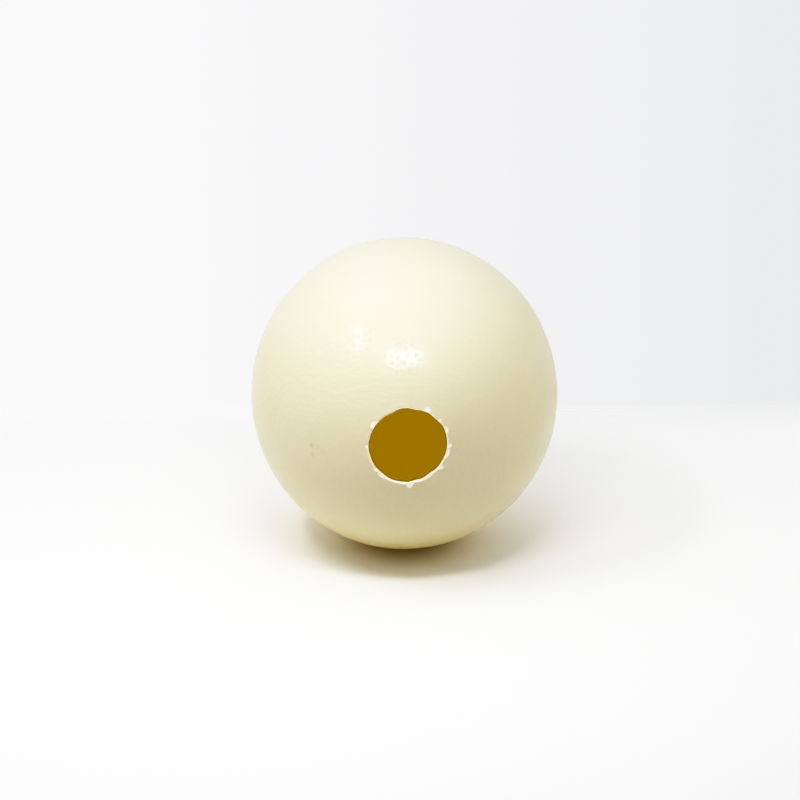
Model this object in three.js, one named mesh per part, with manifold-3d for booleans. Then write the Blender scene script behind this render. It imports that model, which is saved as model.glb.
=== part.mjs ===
// A blown ostrich egg lying on its side: one thin shell, empty inside, with one round hole in its
// blunt end whose edge has crumbled in small bites and flakes.
//
// Millimetres, +Z up. The long axis runs along Y with the holed blunt end towards -Y. The origin is
// on the surface that the egg rests on, under the middle of its length and of its breadth.
import * as THREE from "three";
import { mergeVertices } from "three/addons/utils/BufferGeometryUtils.js";
import Module from "manifold-3d";

const wasm = await Module();
wasm.setup();

// ---- driving dimensions ----
const LENGTH = 154; // over both ends, along Y
const BREADTH = 126; // across the belly, its widest ring
const BELLY_SHIFT = 3; // the belly lies this far from mid-length, towards the blunt end
const WALL = 2; // thickness of the shell
const FLAT_DEPTH = 0.5; // the belly is this much flattened where the egg rests
const HOLE_RADIUS = 14.6; // mean radius of the hole
const HOLE_DRAW = 0.3; // the hole is wider than round by this much along HOLE_DRAW_ANGLE
const HOLE_DRAW_ANGLE = 25; // degrees, from +X towards +Z, as all angles round the hole

// ---- fineness of the faceted surfaces ----
const OUTER_FACETS = { round: 80, along: 40 };
const INNER_FACETS = { round: 48, along: 24 };
const RIM_FACETS = 80;

const AXIS_HEIGHT = BREADTH / 2 - FLAT_DEPTH;
const MARGIN = 6; // how far a cutting tool runs past what it cuts

// Bites out of the hole's edge, right through the wall: where, how far round and how deep.
// A negative depth is a stretch where the edge stands into the hole.
const BITES = [
  { angle: 27, halfWidth: 9, depth: 0.3 },
  { angle: 48, halfWidth: 12, depth: -0.15 },
  { angle: 78, halfWidth: 5, depth: -0.25 },
  { angle: 116, halfWidth: 8, depth: -0.3 },
  { angle: 137, halfWidth: 9, depth: -0.15 },
  { angle: 191, halfWidth: 8, depth: 0.2 },
  { angle: 219, halfWidth: 9, depth: 0.25 },
  { angle: 250, halfWidth: 13, depth: 0.3 },
  { angle: 283, halfWidth: 6, depth: -0.15 },
  { angle: 306, halfWidth: 12, depth: -0.4 },
  { angle: 333, halfWidth: 10, depth: -0.1 },
];

// Flakes lost from the outer face beside the hole: where, how wide round the edge, how far out.
const FLAKES = [
  { angle: -34, halfWidth: 1.5, reach: 1.9 },
  { angle: -11, halfWidth: 2.3, reach: 1.3 },
  { angle: 1, halfWidth: 1.2, reach: 1.7 },
  { angle: 24, halfWidth: 1.8, reach: 1.4 },
  { angle: 41, halfWidth: 0.9, reach: 1.5 },
  { angle: 63, halfWidth: 1.5, reach: 2.6 },
  { angle: 107, halfWidth: 2.2, reach: 0.9 },
  { angle: 146, halfWidth: 1.9, reach: 2.3 },
  { angle: 180, halfWidth: 0.9, reach: 1.4 },
  { angle: 217, halfWidth: 1.2, reach: 1.1 },
  { angle: 230, halfWidth: 2.2, reach: 1.3 },
  { angle: 273, halfWidth: 1.5, reach: 2.4 },
  { angle: 304, halfWidth: 3, reach: 0.9 },
];
const FLAKE_DEPTH = 0.7; // how deep a flake goes into the wall at the hole's edge
const FLAKE_FACETS = { round: 12, down: 8 };

// The Huegelschaeffer egg curve: the radius of the egg at y along its axis.
function radiusAt(y, length, breadth) {
  const inside = Math.max(length ** 2 - 4 * y ** 2, 0);
  const skew = length ** 2 + 8 * BELLY_SHIFT * y + 4 * BELLY_SHIFT ** 2;
  return (breadth / 2) * Math.sqrt(inside / skew);
}

// Where on the axis the blunt end's outer face has a given radius: the same curve, solved for y.
function bluntEndAt(radius) {
  const tilt = 4 * BELLY_SHIFT * radius ** 2;
  const rest = radius ** 2 * (LENGTH ** 2 + 4 * BELLY_SHIFT ** 2) - (BREADTH * LENGTH) ** 2 / 4;
  return -(tilt + Math.sqrt(tilt ** 2 - BREADTH ** 2 * rest)) / BREADTH ** 2;
}

// A closed egg on the Y axis. A lathe turns its profile round Y, so no rotation is needed.
function eggSolid(length, breadth, facets) {
  const profile = [];
  for (let i = 0; i <= facets.along; i++) {
    const y = (-length / 2) * Math.cos((Math.PI * i) / facets.along);
    const onAxis = i === 0 || i === facets.along;
    profile.push(new THREE.Vector2(onAxis ? 0 : radiusAt(y, length, breadth), y));
  }
  return solidOf(new THREE.LatheGeometry(profile, facets.round));
}

// A geometry as a manifold-3d solid, its shared vertices merged.
function solidOf(geometry) {
  const bare = geometry.clone();
  bare.deleteAttribute("normal");
  bare.deleteAttribute("uv");
  const merged = mergeVertices(bare, 1e-4);
  return new wasm.Manifold(
    new wasm.Mesh({
      numProp: 3,
      vertProperties: new Float32Array(merged.attributes.position.array),
      triVerts: new Uint32Array(merged.index.array),
    }),
  );
}

// The hole's edge at an angle: a slightly drawn-out circle with its bites.
function holeRadiusAt(degrees) {
  const draw = Math.cos(THREE.MathUtils.degToRad(2 * (degrees - HOLE_DRAW_ANGLE)));
  let radius = HOLE_RADIUS + HOLE_DRAW * draw;
  for (const bite of BITES) {
    const away = ((degrees - bite.angle + 540) % 360) - 180;
    radius += bite.depth * Math.exp(-((away / bite.halfWidth) ** 2));
  }
  return radius;
}

// The cutter for the hole: its outline is drawn on XZ, and it runs along Y through the blunt end.
function holeCutter() {
  const outline = [];
  for (let i = 0; i < RIM_FACETS; i++) {
    const degrees = (360 * i) / RIM_FACETS;
    const angle = THREE.MathUtils.degToRad(degrees);
    const radius = holeRadiusAt(degrees);
    outline.push(new THREE.Vector2(radius * Math.cos(angle), radius * Math.sin(angle)));
  }
  const geometry = new THREE.ExtrudeGeometry(new THREE.Shape(outline), {
    depth: 2 * MARGIN + WALL,
    bevelEnabled: false,
  });
  geometry.rotateX(Math.PI / 2); // the drawing's Y becomes +Z, and the depth runs towards -Y
  geometry.translate(0, -LENGTH / 2 + WALL + MARGIN, 0);
  return solidOf(geometry);
}

// The cutter for one flake: a shallow bowl sunk in the outer face, centred on the hole's edge.
function flakeCutter({ angle, halfWidth, reach }) {
  const radius = holeRadiusAt(angle);
  const geometry = new THREE.SphereGeometry(1, FLAKE_FACETS.round, FLAKE_FACETS.down);
  geometry.scale(reach, FLAKE_DEPTH, halfWidth);
  geometry.translate(radius, bluntEndAt(radius), 0);
  geometry.rotateY(THREE.MathUtils.degToRad(-angle));
  return solidOf(geometry);
}

// Everything below the surface that the egg rests on.
function floorCutter() {
  const geometry = new THREE.BoxGeometry(BREADTH, LENGTH, BREADTH);
  geometry.translate(0, 0, -AXIS_HEIGHT - BREADTH / 2);
  return solidOf(geometry);
}

function shellGeometry() {
  let shell = eggSolid(LENGTH, BREADTH, OUTER_FACETS);
  shell = shell.subtract(eggSolid(LENGTH - 2 * WALL, BREADTH - 2 * WALL, INNER_FACETS));
  shell = shell.subtract(holeCutter());
  for (const flake of FLAKES) shell = shell.subtract(flakeCutter(flake));
  shell = shell.subtract(floorCutter());
  const mesh = shell.getMesh();
  const geometry = new THREE.BufferGeometry();
  geometry.setAttribute("position", new THREE.BufferAttribute(mesh.vertProperties, 3));
  geometry.setIndex(new THREE.BufferAttribute(mesh.triVerts, 1));
  geometry.computeVertexNormals();
  return geometry;
}

const geometry = shellGeometry();
geometry.computeBoundingBox();
const ends = geometry.boundingBox; // the hole takes off the blunt tip, so its middle isn't at y = 0

const eggshell = new THREE.Mesh(
  geometry,
  new THREE.MeshStandardMaterial({ color: 0xece5c8, roughness: 0.4, metalness: 0 }),
);
eggshell.name = "eggshell";
eggshell.position.set(0, -(ends.min.y + ends.max.y) / 2, AXIS_HEIGHT);

const egg = new THREE.Group();
egg.add(eggshell);

export default egg;
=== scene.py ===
import math

import bpy
from mathutils import Matrix, Vector


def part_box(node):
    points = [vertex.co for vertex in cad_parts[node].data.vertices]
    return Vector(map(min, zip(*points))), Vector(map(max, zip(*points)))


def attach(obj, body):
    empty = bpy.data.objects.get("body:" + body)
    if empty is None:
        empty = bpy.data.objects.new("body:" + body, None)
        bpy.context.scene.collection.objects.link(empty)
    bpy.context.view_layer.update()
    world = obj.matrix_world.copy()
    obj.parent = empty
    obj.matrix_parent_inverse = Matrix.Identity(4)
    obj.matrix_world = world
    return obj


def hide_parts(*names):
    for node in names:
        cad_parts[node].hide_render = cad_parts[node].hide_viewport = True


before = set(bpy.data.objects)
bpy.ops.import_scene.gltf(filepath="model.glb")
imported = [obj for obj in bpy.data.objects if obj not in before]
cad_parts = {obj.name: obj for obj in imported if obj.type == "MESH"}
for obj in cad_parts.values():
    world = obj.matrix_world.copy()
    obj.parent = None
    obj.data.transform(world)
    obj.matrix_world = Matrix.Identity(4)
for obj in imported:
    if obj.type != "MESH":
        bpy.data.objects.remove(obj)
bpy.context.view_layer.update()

# ---- Eggshell ----
# One thin shell of cream calcite, grown whole and then blown: an egg curve turned round its long axis,
# open at the blunt end, where the drilled edge has crumbled and flaked. It isn't fixed to anything.


class Wire:
    """An output socket of a node tree. Arithmetic on wires and numbers adds Math nodes."""

    def __init__(self, socket):
        self.socket = socket
        self.tree = socket.id_data

    def maths(self, operation, *values):
        names = ("Value", "Value_001", "Value_002")
        return add(self.tree, "ShaderNodeMath", {"operation": operation}, dict(zip(names, values)))

    def __add__(self, other):
        return self.maths("ADD", self, other)

    def __radd__(self, other):
        return self.maths("ADD", other, self)

    def __sub__(self, other):
        return self.maths("SUBTRACT", self, other)

    def __rsub__(self, other):
        return self.maths("SUBTRACT", other, self)

    def __mul__(self, other):
        return self.maths("MULTIPLY", self, other)

    def __rmul__(self, other):
        return self.maths("MULTIPLY", other, self)

    def __truediv__(self, other):
        return self.maths("DIVIDE", self, other)

    def __rtruediv__(self, other):
        return self.maths("DIVIDE", other, self)

    def __pow__(self, other):
        return self.maths("POWER", self, other)

    def __rpow__(self, other):
        return self.maths("POWER", other, self)

    def __neg__(self):
        return self.maths("MULTIPLY", self, -1)

    def __gt__(self, other):
        return self.maths("GREATER_THAN", self, other)

    def __lt__(self, other):
        return self.maths("LESS_THAN", self, other)

    def root(self):
        return self.maths("SQRT", self)

    def cos(self):
        return self.maths("COSINE", self)

    def sin(self):
        return self.maths("SINE", self)

    def arccos(self):
        return self.maths("ARCCOSINE", self)

    def exp(self):
        return self.maths("EXPONENT", self)

    def wrapped(self, low, high):
        """Brought to between low and high by whole turns."""
        return self.maths("WRAP", self, high, low)

    def at_least(self, other):
        return self.maths("MAXIMUM", self, other)

    def at_most(self, other):
        return self.maths("MINIMUM", self, other)

    def share(self, low, high):
        """0 up to low, 1 from high on, straight in between."""
        return self.ranged("LINEAR", low, high)

    def soft_share(self, low, high):
        """0 up to low, 1 from high on, with an eased slope in between."""
        return self.ranged("SMOOTHSTEP", low, high)

    def ranged(self, slope, low, high):
        values = {"Value": self, "From Min": low, "From Max": high}
        return add(self.tree, "ShaderNodeMapRange", {"interpolation_type": slope}, values)


def add(tree, kind, settings=None, values=None, output=0):
    """Adds a node: its settings, then a value or a wire for each socket's identifier or name."""
    node = tree.nodes.new(kind)
    for name, setting in (settings or {}).items():
        setattr(node, name, setting)
    sockets = {socket.identifier: socket for socket in node.inputs}
    sockets |= {name: node.inputs[name] for name in (values or {}) if name not in sockets}
    for name, value in (values or {}).items():
        if isinstance(value, Wire):
            tree.links.new(value.socket, sockets[name])
        else:
            sockets[name].default_value = value
    return Wire(node.outputs[output])


MM = 0.001
LENGTH = 0.154
BREADTH = 0.126

# The middle of the egg's axis, at half its whole length, before the hole takes off the blunt tip.
far_top_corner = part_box("eggshell")[1]
axis_point = Vector((0, far_top_corner.y - LENGTH / 2, far_top_corner.z - BREADTH / 2))

# The node tree's inputs, in metres.
SHELL_SIZES = {
    "Length": LENGTH,
    "Breadth": BREADTH,
    "Belly Shift": 0.003,
    "Wall": 0.002,
    "Mid Length": axis_point.y,
    "Axis Height": axis_point.z,
    "Hole Radius": 0.0146,
    "Hole Draw": 0.0003,
    "Edge Crumble": 0.00025,
    "Wall Taper": 0.0006,
    "Bevel": 0.0003,
    "Flake Depth": 0.0005,
    "Lump Depth": 0.00035,
}

# The grid's faces round the egg, and its rings from the inner face's far pole to the outer face's tip.
AROUND = 400
INNER_RINGS = 22
WALL_RINGS = 9
LIP_RINGS = 14
OUTER_RINGS = 202
LIP_REACH = 0.003  # how far the lip, the outer face's finest part, reaches from the hole
LIP_CROWDING = 1.5  # the power by which the lip's rings crowd towards the hole
END_CROWDING = 0.04  # how much closer together the other rings are towards both ends
SEAM_GAP = 1e-6

# The angle, in degrees from +X towards +Z, along which the hole is drawn out.
HOLE_DRAW_ANGLE = 25

# Bites out of the hole's edge, right through the wall: angle, how far round in degrees, depth in mm.
# A negative depth is a stretch where the edge stands into the hole.
BITES = (
    (27, 9, 0.3),
    (48, 12, -0.15),
    (60, 8, 0.2),
    (78, 5, -0.15),
    (98, 14, 0.38),
    (116, 8, -0.2),
    (137, 9, 0.05),
    (200, 9, -0.15),
    (223, 10, -0.15),
    (250, 13, 0.25),
    (270, 6, 0.25),
    (283, 6, -0.2),
    (308, 12, -0.48),
    (333, 10, -0.1),
)

# Flakes lost from the outer face beside the hole: angle, half width round the edge and reach in mm.
FLAKES = (
    (-34, 1.5, 1.9),
    (-11, 2.3, 1.3),
    (1, 1.2, 1.7),
    (24, 1.8, 1.4),
    (41, 0.9, 1.5),
    (63, 1.5, 2.6),
    (107, 2.2, 0.9),
    (146, 1.9, 2.3),
    (180, 0.9, 1.4),
    (217, 1.2, 1.1),
    (230, 2.2, 1.3),
    (273, 1.5, 2.4),
    (304, 3, 0.9),
)

# The grain of the broken edge, fine and coarse, and how far each sways the flakes and the bevel.
FINE_GRAIN = 0.0009
COARSE_GRAIN = 0.0035
GRAIN_DRAWN_OUT = 0.5  # the grain is twice as long along the wall
FLAKE_RAGGED = 1.6
BEVEL_RAGGED = 1.4
BEVEL_UNEVEN = 2.4
BEVEL_LOWER = 0.8  # the share by which the bevel is wider at the bottom of the hole
BEVEL_SLOPE = 0.8  # its depth over its width
LEAST_BEVEL = 0.00005
FLAKE_CHALK = 1.5  # how fast a flake turns chalky from its rim inwards
BEVEL_CHALK = 2.5
CRUMBLE_RAGGED = 1.2
CRUMBLE_REACH = 0.25  # the share of the lip over which the crumbling dies out

# Lumps of the outer face, and finer swells on them: how wide, and what share of the depth.
LUMP_WIDTH, LUMP_SHARE = 0.03, 0.8
SWELL_WIDTH, SWELL_SHARE = 0.009, 0.2

shape = bpy.data.node_groups.new("eggshell_shape", "GeometryNodeTree")
socket_ids = {}
for name in SHELL_SIZES:
    item = shape.interface.new_socket(name, in_out="INPUT", socket_type="NodeSocketFloat")
    socket_ids[name] = item.identifier
item = shape.interface.new_socket("Shell Material", in_out="INPUT", socket_type="NodeSocketMaterial")
socket_ids["Shell Material"] = item.identifier
shape.interface.new_socket("Shell", in_out="OUTPUT", socket_type="NodeSocketGeometry")
given_node = shape.nodes.new("NodeGroupInput")
given = {name: Wire(given_node.outputs[name]) for name in (*SHELL_SIZES, "Shell Material")}


def end_at(radius, length, breadth):
    """Where on the axis the blunt end of an egg has a given radius."""
    shift = given["Belly Shift"]
    tilt = 4 * shift * radius * radius
    rest = radius * radius * (length * length + 4 * shift * shift) - (length * breadth) ** 2 / 4
    return -(tilt + (tilt * tilt - breadth * breadth * rest).root()) / (breadth * breadth)


def place_on_egg(turn, length, breadth):
    """(place along the axis, radius) at a turn from the blunt pole, 0, to the far tip, pi."""
    shift = given["Belly Shift"]
    along = turn.cos() * length * -0.5
    skew = length * length + 8 * shift * along + 4 * shift * shift
    return along, turn.sin() * length * breadth / (2 * skew.root())


def noise(tree, place, width, detail):
    """Noise, mostly between 0.3 and 0.7, whose lumps are about width metres across."""
    values = {"Vector": place, "Scale": 1 / width, "Detail": detail, "Roughness": 0.5}
    return add(tree, "ShaderNodeTexNoise", {}, values)


def chosen(factor, low, high):
    return low + (high - low) * factor


# One grid covers the whole shell, from the inner face's far pole, out along the hole's wall, to the
# outer face's far tip. Here is where each of its points stands round the egg and along that way.
edge_of_inner = INNER_RINGS
edge_of_outer = INNER_RINGS + WALL_RINGS
lip_end = edge_of_outer + LIP_RINGS
rings = lip_end + OUTER_RINGS
grid = add(
    shape,
    "GeometryNodeMeshGrid",
    {},
    {"Size X": 1, "Size Y": 1, "Vertices X": AROUND + 1, "Vertices Y": rings + 1},
)
grid_place = add(shape, "GeometryNodeInputPosition")
grid_u = add(shape, "ShaderNodeSeparateXYZ", {}, {"Vector": grid_place}, output=0)
grid_v = add(shape, "ShaderNodeSeparateXYZ", {}, {"Vector": grid_place}, output=1)
degrees = (0.5 - grid_u) * 360
angle = degrees * math.radians(1)
ring = (grid_v + 0.5) * rings
inner_share = ring.share(0, edge_of_inner)
wall_share = ring.share(edge_of_inner, edge_of_outer)
lip_share = ring.share(edge_of_outer, lip_end)
outer_share = ring.share(lip_end, rings)
in_wall = ring > edge_of_inner
in_outer = ring > edge_of_outer

# The hole's edge: a slightly drawn-out circle with its bites.
hole = given["Hole Radius"] + given["Hole Draw"] * ((degrees - HOLE_DRAW_ANGLE) * math.radians(2)).cos()
for bite_angle, half_width, depth in BITES:
    away = (degrees - bite_angle).wrapped(-180, 180) / half_width
    hole = hole + MM * depth * (-away * away).exp()

# Outer face: the lip beside the hole, then the rest.
length = given["Length"]
breadth = given["Breadth"]
outer_end = end_at(hole, length, breadth)
outer_start = (outer_end / length * -2).arccos()
lip_turn = LIP_REACH / (BREADTH / 2)
lip_away = lip_share**LIP_CROWDING
spread = outer_share - END_CROWDING * (outer_share * math.tau).sin()
outer_turn = outer_start + lip_turn * lip_away + (math.pi - lip_turn - outer_start) * spread
outer_along, outer_radius = place_on_egg(outer_turn, length, breadth)

# Inner face, and the wall of the hole between the two faces, which narrows a little inwards.
inner_length = length - 2 * given["Wall"]
inner_breadth = breadth - 2 * given["Wall"]
inner_hole = hole - given["Wall Taper"]
inner_end = end_at(inner_hole, inner_length, inner_breadth)
inner_start = (inner_end / inner_length * -2).arccos()
inner_turn = math.pi + (inner_start - math.pi) * inner_share
inner_along, inner_radius = place_on_egg(inner_turn, inner_length, inner_breadth)
wall_along = inner_end + (outer_end - inner_end) * wall_share
wall_radius = inner_hole + (hole - inner_hole) * wall_share

along = chosen(in_outer, chosen(in_wall, inner_along, wall_along), outer_along)
radius = chosen(in_outer, chosen(in_wall, inner_radius, wall_radius), outer_radius)
across = angle.cos() * radius
upward = angle.sin() * radius

# How deep the holed end is flaked: bowls in the outer face, centred on the hole's edge.
edge_place = add(
    shape,
    "ShaderNodeCombineXYZ",
    {},
    {"X": across, "Y": along * GRAIN_DRAWN_OUT, "Z": upward},
)
ragged = noise(shape, edge_place, FINE_GRAIN, 3) - 0.5
uneven = noise(shape, edge_place, COARSE_GRAIN, 1) - 0.5
bowl = along * 0  # no flake yet
for flake_angle, half_width, reach in FLAKES:
    middle = math.radians(flake_angle)
    outward = across * math.cos(middle) + upward * math.sin(middle)
    sideways = upward * math.cos(middle) - across * math.sin(middle)
    out_share = (outward - hole) / (MM * reach)
    side_share = sideways / (MM * half_width)
    left = 1 - (out_share * out_share + side_share * side_share) * (1 + ragged * FLAKE_RAGGED)
    bowl = bowl.at_least(left * (outward > 0))
bowl = bowl * (along < 0)

# The bevel worn along the outer edge of the hole, and where flakes and bevel leave it chalky.
lower_half = (-angle.sin()).at_least(0)
bevel_sway = 1 + ragged * BEVEL_RAGGED + uneven * BEVEL_UNEVEN + lower_half * BEVEL_LOWER
bevel_width = given["Bevel"] * bevel_sway
bevel_share = (1 - lip_away * LIP_REACH / bevel_width.at_least(LEAST_BEVEL)).at_least(0)
worn = (given["Flake Depth"] * bowl).at_least(bevel_width * bevel_share * BEVEL_SLOPE) * wall_share
chalky_face = (bowl * FLAKE_CHALK).at_least(bevel_share * BEVEL_CHALK).at_most(1)
chalk = in_wall * (1 - in_outer) + in_outer * chalky_face

# The broken edge crumbles a little in and out, most where the wall meets the outer face.
near_edge = wall_share * (1 - lip_share.share(0, CRUMBLE_REACH))
crumble = (ragged * CRUMBLE_RAGGED + uneven) * given["Edge Crumble"]
crumbled = 1 + crumble * near_edge / hole

# The masks are stored first, because they are worked out from the grid's own places.
marked = grid
for name, mask in (
    ("inside", 1 - wall_share),
    ("chalk", chalk),
    ("outer", in_outer * lip_share),
):
    marked = add(
        shape,
        "GeometryNodeStoreNamedAttribute",
        {"data_type": "FLOAT", "domain": "POINT"},
        {"Geometry": marked, "Name": name, "Value": mask},
    )
place = add(
    shape,
    "ShaderNodeCombineXYZ",
    {},
    {
        "X": across * crumbled,
        "Y": along + worn + given["Mid Length"],
        "Z": upward * crumbled + given["Axis Height"],
    },
)
turned = add(shape, "GeometryNodeSetPosition", {}, {"Geometry": marked, "Position": place})

# Gentle lumps sink into the outer face. They never stand out of the egg curve.
surface_place = add(shape, "GeometryNodeInputPosition")
outer_mask = add(
    shape, "GeometryNodeInputNamedAttribute", {"data_type": "FLOAT"}, {"Name": "outer"}
)
lumps = noise(shape, surface_place, LUMP_WIDTH, 1).share(0.25, 0.75)
swells = noise(shape, surface_place, SWELL_WIDTH, 1).share(0.25, 0.75)
sunk = outer_mask * given["Lump Depth"] * (LUMP_SHARE * lumps + SWELL_SHARE * swells)
normal = add(shape, "GeometryNodeInputNormal")
inward = add(
    shape, "ShaderNodeVectorMath", {"operation": "SCALE"}, {"Vector": normal, "Scale": -sunk}
)
lumpy = add(shape, "GeometryNodeSetPosition", {}, {"Geometry": turned, "Offset": inward})

# The small flat spot that the egg rests on: nothing goes below the floor.
FLOOR_LIMIT = (-1, -1, 0)
lumpy_place = add(shape, "GeometryNodeInputPosition")
on_floor = add(
    shape,
    "ShaderNodeVectorMath",
    {"operation": "MAXIMUM"},
    {"Vector": lumpy_place, "Vector_001": FLOOR_LIMIT},
)
rested = add(shape, "GeometryNodeSetPosition", {}, {"Geometry": lumpy, "Position": on_floor})

# The grid's two sides are sewn together, and each pole becomes one point.
sewn = add(shape, "GeometryNodeMergeByDistance", {}, {"Geometry": rested, "Distance": SEAM_GAP})
smooth = add(shape, "GeometryNodeSetShadeSmooth", {}, {"Geometry": sewn})
real = add(shape, "GeometryNodeRealizeInstances", {}, {"Geometry": smooth})
finished = add(
    shape,
    "GeometryNodeSetMaterial",
    {},
    {"Geometry": real, "Material": given["Shell Material"]},
)
shape_output = shape.nodes.new("NodeGroupOutput")
shape.links.new(finished.socket, shape_output.inputs["Shell"])

# The finish is cream with a waxy gloss, pores that show in two patches where the lamps' highlights
# fall, and a few faint stains. Where the shell is cut or flaked it is white and chalky. Its inner skin
# is dark, with an amber glow painted onto it as emission, standing in for the light that comes through
# the wall. The outside has a fainter painted amber glow, strongest underneath, its straw tint low down
# is painted warm bounce light, and in the patches the pores' dark colour is partly painted shade.
CREAM = (0.690, 0.671, 0.560, 1)
# Straw tints the mottle, streaks and grain, and low down it is painted warm bounce light.
STRAW_AND_PAINTED_WARMTH = (0.708, 0.672, 0.532, 1)
# The pores' dark colour is partly their own and partly painted shade in the pits.
DARK_PORE_AND_PIT_SHADE = (0.52, 0.505, 0.43, 1)
PORE_RIM = (0.80, 0.78, 0.68, 1)
STAIN = (0.50, 0.49, 0.34, 1)
CHALK = (0.92, 0.895, 0.81, 1)
# The ambers, all but the skin's, are emission: painted glow standing in for light through the shell,
# amber inside, dimmer on the inner part of the hole's wall, faint over the outside and stronger
# underneath.
PAINTED_INSIDE_GLOW = (0.60, 0.51, 0.04, 1)
AMBER_SKIN = (0.20, 0.09, 0.004, 1)
PAINTED_FAINT_GLOW = (0.0185, 0.0086, 0, 1)
PAINTED_EDGE_GLOW = (0.30, 0.31, 0.12, 1)
PAINTED_UNDER_GLOW = (0.135, 0.088, 0.009, 1)

# How wide each pattern's lumps are, in metres.
PORE_SPACING = 0.0026
GRAIN_WIDTH = 0.0015
MOTTLE_WIDTH = 0.02
STREAK_WIDTH = 0.012
WAVE_WIDTH = 0.009
WAX_WIDTH = 0.0045
RUN_ACROSS = (1, 4, 4)  # streaks and waves are four times longer across the egg than along or up it

# The skin turns from cream above the second height to straw below the first, which is painted warm
# bounce light, and the painted glow from its under side's strong amber to the faint one.
PAINTED_WARM_HEIGHTS = (0.08, 0.13)
PAINTED_GLOW_HEIGHTS = (0.003, 0.033)

# How strongly each pattern shows in the colour, the gloss and the relief.
# The straw low down is painted warm bounce light.
PAINTED_WARM_STRAW = 0.75
MOTTLE_TINT = 0.1
STREAK_TINT = 0.1
GRAIN_TINT = 0.05
# Pore tint: partly the pores' own darker colour, partly painted shade in the pits.
PORE_AND_PIT_SHADE_TINT = 0.2
PORE_RIM_TINT = 0.13
CLOSED_PORES = 0.15  # what share of the pores' colour and relief is left outside the open patches
PLAIN_GLOSS = 0.15
WAX_GLOSS = (0.3, 0.9)
SKIN_ROUGHNESS = (0.3, 0.35)
CHALK_ROUGHNESS = 0.85
WAVE_HEIGHT = 1.6
RELIEF_DEPTH = 0.000035

# The two patches where the lamps' highlights fall, in which the pores show with painted shade in their
# pits, and between which distances they fade.
PORE_PATCHES = (
    ((-0.0015, -0.0674, 0.0951), 0.0055, 0.0095),
    ((-0.0175, -0.0608, 0.0991), 0.004, 0.0085),
)

# Where the stains are, how far each reaches, and how strong it is.
STAINS = (
    ((-0.0364, -0.0646, 0.0591), 0.0018, 0.42),
    ((-0.0341, -0.0664, 0.0592), 0.0020, 0.2),
    ((-0.0361, -0.0644, 0.0555), 0.0019, 0.24),
    ((-0.0322, -0.0676, 0.0576), 0.0028, 0.12),
)

material = bpy.data.materials.new("eggshell_cream")
material.use_nodes = True
finish = material.node_tree
finish.nodes.clear()


def blend_colours(factor, low, high):
    values = {"Factor_Float": factor, "A_Color": low, "B_Color": high}
    return add(factor.tree, "ShaderNodeMix", {"data_type": "RGBA"}, values, output=2)


def attribute(name):
    return add(finish, "ShaderNodeAttribute", {"attribute_name": name}, {}, output=2)


skin_place = add(finish, "ShaderNodeTexCoord", {}, {}, output=3)
skin_height = add(finish, "ShaderNodeSeparateXYZ", {}, {"Vector": skin_place}, output=2)


def skin_away(place):
    """How far the skin is from a place."""
    values = {"Vector": skin_place, "Vector_001": place}
    return add(finish, "ShaderNodeVectorMath", {"operation": "DISTANCE"}, values, output=1)


# Where the skin is inside, chalky or outside, from the masks of the mesh.
inside = attribute("inside")
past_edge = inside.share(0.3, 0.5)
deep_inside = inside.share(0.85, 1)
chalky = attribute("chalk")
outside = attribute("outer")

# Cream above and straw below, the straw low down being painted warm bounce light, with a faint mottle,
# streaks and grain.
mottle = noise(finish, skin_place, MOTTLE_WIDTH, 3).share(0.3, 0.7)
grain = noise(finish, skin_place, GRAIN_WIDTH, 3).share(0.3, 0.7)
stretched = add(
    finish,
    "ShaderNodeVectorMath",
    {"operation": "MULTIPLY"},
    {"Vector": skin_place, "Vector_001": RUN_ACROSS},
)
streaks = noise(finish, stretched, STREAK_WIDTH, 2).share(0.35, 0.65)
# Straw low down: painted warm bounce light.
painted_warm_low_down = 1 - skin_height.soft_share(*PAINTED_WARM_HEIGHTS)
straw_and_painted_warmth = painted_warm_low_down * PAINTED_WARM_STRAW + mottle * MOTTLE_TINT + streaks * STREAK_TINT
skin = blend_colours(straw_and_painted_warmth + grain * GRAIN_TINT, CREAM, STRAW_AND_PAINTED_WARMTH)

# Pores: cells with rims between them, plain to see only in the two patches. There the pores' darker
# colour is partly their own and partly painted shade in the pits.
pore_values = {"Vector": skin_place, "Scale": 1 / PORE_SPACING, "Randomness": 0.8}
rim_away = add(finish, "ShaderNodeTexVoronoi", {"feature": "DISTANCE_TO_EDGE"}, pore_values)
in_pore = rim_away.soft_share(0.12, 0.24)
pore_depth = rim_away.soft_share(0, 0.3)
closed = 1  # all pores, before the patches
for patch_place, open_reach, closed_reach in PORE_PATCHES:
    closed = closed * skin_away(patch_place).soft_share(open_reach, closed_reach)
highlight_patch = 1 - closed
pores_shown = CLOSED_PORES + (1 - CLOSED_PORES) * highlight_patch
# Darker pores: partly their own colour, partly painted shade in the pits.
skin = blend_colours(in_pore * pores_shown * PORE_AND_PIT_SHADE_TINT, skin, DARK_PORE_AND_PIT_SHADE)
skin = blend_colours((1 - in_pore) * highlight_patch * PORE_RIM_TINT, skin, PORE_RIM)

# Stains on the outside, then chalk over them, and the dark skin of the inside. Then the painted glow,
# given as emission: strong amber under the egg, faint over the rest of the outside, dimmer on the inner
# part of the hole's wall, which paints shade there, and amber inside, for the light through the wall.
for stain_place, stain_reach, strength in STAINS:
    stained = 1 - skin_away(stain_place).soft_share(0, stain_reach)
    skin = blend_colours(stained * strength, skin, STAIN)
skin = blend_colours(chalky, skin, CHALK)
skin = blend_colours(past_edge, skin, AMBER_SKIN)
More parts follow.
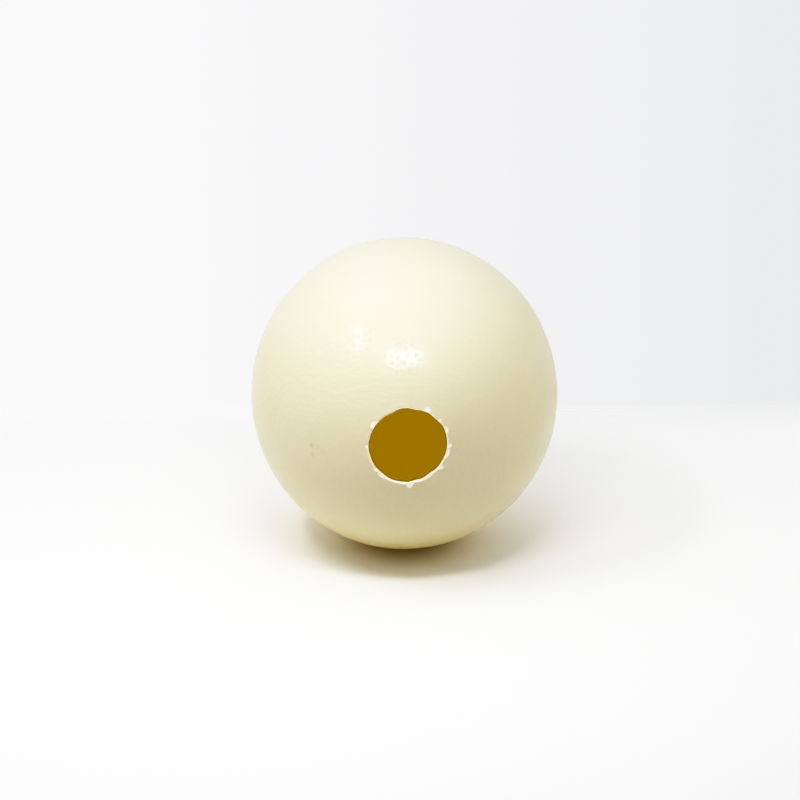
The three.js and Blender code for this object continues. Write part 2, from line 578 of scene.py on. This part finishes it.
# Painted glow: strong amber underneath, faint higher up.
painted_glow = blend_colours(skin_height.soft_share(*PAINTED_GLOW_HEIGHTS), PAINTED_UNDER_GLOW, PAINTED_FAINT_GLOW)
painted_glow = blend_colours(past_edge, painted_glow, PAINTED_EDGE_GLOW)
painted_glow = blend_colours(deep_inside, painted_glow, PAINTED_INSIDE_GLOW)

# The gloss is full only on the rims of the pores in the patches, which gives a highlight there its net.
roughness = chosen(grain, *SKIN_ROUGHNESS)
roughness = chosen(chalky.at_least(inside), roughness, CHALK_ROUGHNESS)
waves = noise(finish, stretched, WAVE_WIDTH, 3).share(0.3, 0.7)
relief = outside * (pores_shown * (1 - pore_depth) + waves * WAVE_HEIGHT)
wax = chosen(noise(finish, skin_place, WAX_WIDTH, 1).share(0.35, 0.6), *WAX_GLOSS)
gloss = outside * chosen(highlight_patch, PLAIN_GLOSS, wax * (1 - in_pore))
bump = add(
    finish,
    "ShaderNodeBump",
    {},
    {"Strength": 1.0, "Distance": RELIEF_DEPTH, "Height": relief},
)
shader = add(
    finish,
    "ShaderNodeBsdfPrincipled",
    {},
    {
        "Base Color": skin,
        "Roughness": roughness,
        "Specular IOR Level": 0.1,
        "Coat Weight": gloss,
        "Coat Roughness": 0.12,
        "Emission Color": painted_glow,
        "Emission Strength": 1.0,
        "Normal": bump,
    },
)
finish_output = finish.nodes.new("ShaderNodeOutputMaterial")
finish.links.new(shader.socket, finish_output.inputs["Surface"])

# The tree runs on a bare carrier, and its result becomes the plain mesh of the shell.
carrier = bpy.data.objects.new("carrier", bpy.data.meshes.new("carrier"))
bpy.context.scene.collection.objects.link(carrier)
maker = carrier.modifiers.new("shape", "NODES")
maker.node_group = shape
for name, size in SHELL_SIZES.items():
    maker[socket_ids[name]] = size
maker[socket_ids["Shell Material"]] = material
depsgraph = bpy.context.evaluated_depsgraph_get()
shell_mesh = bpy.data.meshes.new_from_object(carrier.evaluated_get(depsgraph))
carrier.modifiers.remove(maker)
bpy.data.objects.remove(carrier)
shell = bpy.data.objects.new("eggshell_surface", shell_mesh)
bpy.context.scene.collection.objects.link(shell)
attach(shell, "root")
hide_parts("eggshell")

# ---- Table ----
# A white table top, darker to the right as painted shade. It fades out in front of the egg, behind it
# and at its sides, so that it meets the pale tent round it without an edge.
TABLE_SIDE = 1.2
TABLE_FRONT = -1.2
TABLE_BACK = 0.2
TABLE_LEFT_WHITE = (0.93, 0.93, 0.93, 1)
# The right side's darker white is painted shade.
TABLE_RIGHT_PAINTED_SHADE = (0.86, 0.86, 0.86, 1)
WHITES_MEET = (-0.05, 0.3)
FADE_BEHIND = (0.14, 0.185)
FADE_BEFORE = (-0.32, -0.45)
FADE_BESIDE = (0.062, 0.092)  # squares of the distance to either side

table_mesh = bpy.data.meshes.new("table")
table_corners = [
    (-TABLE_SIDE, TABLE_FRONT, 0),
    (TABLE_SIDE, TABLE_FRONT, 0),
    (TABLE_SIDE, TABLE_BACK, 0),
    (-TABLE_SIDE, TABLE_BACK, 0),
]
table_mesh.from_pydata(table_corners, [], [(0, 1, 2, 3)])
table = bpy.data.objects.new("table", table_mesh)
bpy.context.scene.collection.objects.link(table)
table_finish = bpy.data.materials.new("table_white")
table_finish.use_nodes = True
cloth = table_finish.node_tree
cloth.nodes.clear()
table_place = add(cloth, "ShaderNodeTexCoord", {}, {}, output=3)
table_x = add(cloth, "ShaderNodeSeparateXYZ", {}, {"Vector": table_place}, output=0)
table_y = add(cloth, "ShaderNodeSeparateXYZ", {}, {"Vector": table_place}, output=1)
behind = table_y.share(*FADE_BEHIND)
before = table_y.share(*FADE_BEFORE)
beside = (table_x * table_x).share(*FADE_BESIDE)
# Darker to the right: painted shade.
white = blend_colours(table_x.share(*WHITES_MEET), TABLE_LEFT_WHITE, TABLE_RIGHT_PAINTED_SHADE)
cloth_shader = add(
    cloth,
    "ShaderNodeBsdfPrincipled",
    {},
    {
        "Base Color": white,
        "Roughness": 0.7,
        "Specular IOR Level": 0,
        "Alpha": 1 - behind.at_least(before).at_least(beside),
    },
)
cloth_output = cloth.nodes.new("ShaderNodeOutputMaterial")
cloth.links.new(cloth_shader.socket, cloth_output.inputs["Surface"])
table_mesh.materials.append(table_finish)

# ---- Light ----
# A small white light tent: two strips of lamps in its ceiling, each doubled by one that shows only in
# the gloss, a wide lamp overhead, glowing walls, and even white light from all round.


def lamp(name, start, end, width, power, target=axis_point, glint=False):
    """A rectangular lamp from one place to another, facing a target. A glint shows only in the gloss."""
    start, end = Vector(start), Vector(end)
    middle = (start + end) / 2
    data = bpy.data.lights.new(name, "AREA")
    data.shape = "RECTANGLE"
    data.size, data.size_y = (end - start).length, width
    data.energy = power
    lengthways = (end - start).normalized()
    sideways = (middle - Vector(target)).cross(lengthways).normalized()
    turn = Matrix((lengthways, sideways, lengthways.cross(sideways))).transposed().to_4x4()
    light = bpy.data.objects.new(name, data)
    light.matrix_world = Matrix.Translation(middle) @ turn
    light.visible_camera = False
    light.visible_diffuse = not glint
    light.visible_glossy = glint
    bpy.context.scene.collection.objects.link(light)


# Each glint stands 2 mm off its strip, because two lamps in one plane would hide each other.
lamp("front_strip", (-0.062, -0.174, 0.24), (0.052, -0.174, 0.24), 0.026, 0.3)
lamp("front_glint", (-0.062, -0.176, 0.24), (0.052, -0.176, 0.24), 0.045, 0.19, glint=True)
lamp("left_strip", (-0.21, -0.222, 0.375), (-0.177, -0.059, 0.375), 0.04, 0.58)
lamp("left_glint", (-0.208, -0.202, 0.377), (-0.177, -0.049, 0.377), 0.045, 0.16, glint=True)
lamp("overhead", (-0.24, 0, 0.9), (0.24, 0, 0.9), 0.48, 0.93)
lamp("left_wall", (-0.3, -0.25, 0.15), (-0.3, 0.25, 0.15), 0.3, 0.33, (0, 0, 0.15))
lamp("right_wall", (0.3, -0.25, 0.15), (0.3, 0.25, 0.15), 0.3, 0.47, (0, 0, 0.15))
lamp("back_wall", (-0.3, 0.45, 0.25), (0.3, 0.45, 0.25), 0.4, 0.58, (0, 0, 0.1))

# The tent as it lights the egg, brighter at the back, and as it is seen, brighter at the left.
TENT_FRONT = (0.4, 0.4, 0.4, 1)
TENT_BACK = (1.13, 1.13, 1.13, 1)
WALL_LEFT = (1.52, 1.51, 1.55, 1)
WALL_RIGHT = (1.28, 1.29, 1.31, 1)
world = bpy.data.worlds.new("white_tent")
bpy.context.scene.world = world
world.use_nodes = True
tent = world.node_tree
tent.nodes.clear()
view_direction = add(tent, "ShaderNodeTexCoord", {}, {}, output="Generated")
view_x = add(tent, "ShaderNodeSeparateXYZ", {}, {"Vector": view_direction}, output=0)
view_y = add(tent, "ShaderNodeSeparateXYZ", {}, {"Vector": view_direction}, output=1)
tent_glow = blend_colours(view_y.share(-1, 0.2), TENT_FRONT, TENT_BACK)
lit = add(tent, "ShaderNodeBackground", {}, {"Color": tent_glow, "Strength": 1.0})
wall = blend_colours(view_x.share(-0.12, 0.22), WALL_LEFT, WALL_RIGHT)
seen = add(tent, "ShaderNodeBackground", {}, {"Color": wall, "Strength": 1.0})
diffuse_ray = add(tent, "ShaderNodeLightPath", {}, {}, output="Is Diffuse Ray")
tent_light = add(
    tent, "ShaderNodeMixShader", {}, {"Fac": diffuse_ray, "Shader": seen, "Shader_001": lit}
)
tent_output = tent.nodes.new("ShaderNodeOutputWorld")
tent.links.new(tent_light.socket, tent_output.inputs["Surface"])

# ---- Camera ----
# It looks at the holed end of the egg from a little above its axis and a touch from the left, so the
# long axis points almost at it.
CAMERA_DISTANCE = 0.7
CAMERA_RISE = math.radians(16.25)
CAMERA_SWING = math.radians(-1.1)
CAMERA_LENS = 76.05
CAMERA_AIM = Vector((-0.0017, -0.0012, -0.0041))  # from the middle of the egg's axis

towards_camera = Vector(
    (
        math.sin(CAMERA_SWING) * math.cos(CAMERA_RISE),
        -math.cos(CAMERA_SWING) * math.cos(CAMERA_RISE),
        math.sin(CAMERA_RISE),
    )
)
camera_data = bpy.data.cameras.new("camera")
camera_data.sensor_width = 36
camera_data.lens = CAMERA_LENS
camera = bpy.data.objects.new("camera", camera_data)
camera.location = axis_point + CAMERA_DISTANCE * towards_camera
aim = axis_point + CAMERA_AIM
camera.rotation_euler = (aim - camera.location).to_track_quat("-Z", "Y").to_euler()
bpy.context.scene.collection.objects.link(camera)
bpy.context.scene.camera = camera

# Its tone curve: how each level of light, up to WHITE_LIGHT, is shown. Shadows deepen, whites ease off.
WHITE_LIGHT = 1.8
CONTRAST = 2.5
SHADOW_DEPTH = 1.15
CURVE_STEPS = 12


def tone(light_level):
    """How bright a level of light is shown, before the curve is scaled to end at full white."""
    return (1 - math.exp(-(light_level**CONTRAST))) ** SHADOW_DEPTH


shown = bpy.context.scene.view_settings
shown.view_transform = "Standard"
shown.use_curve_mapping = True
shown.curve_mapping.white_level = (WHITE_LIGHT, WHITE_LIGHT, WHITE_LIGHT)
for step in range(1, CURVE_STEPS):
    way_up = step / CURVE_STEPS
    shade = tone(way_up * WHITE_LIGHT) / tone(WHITE_LIGHT)
    shown.curve_mapping.curves[3].points.new(way_up, shade)
shown.curve_mapping.update()
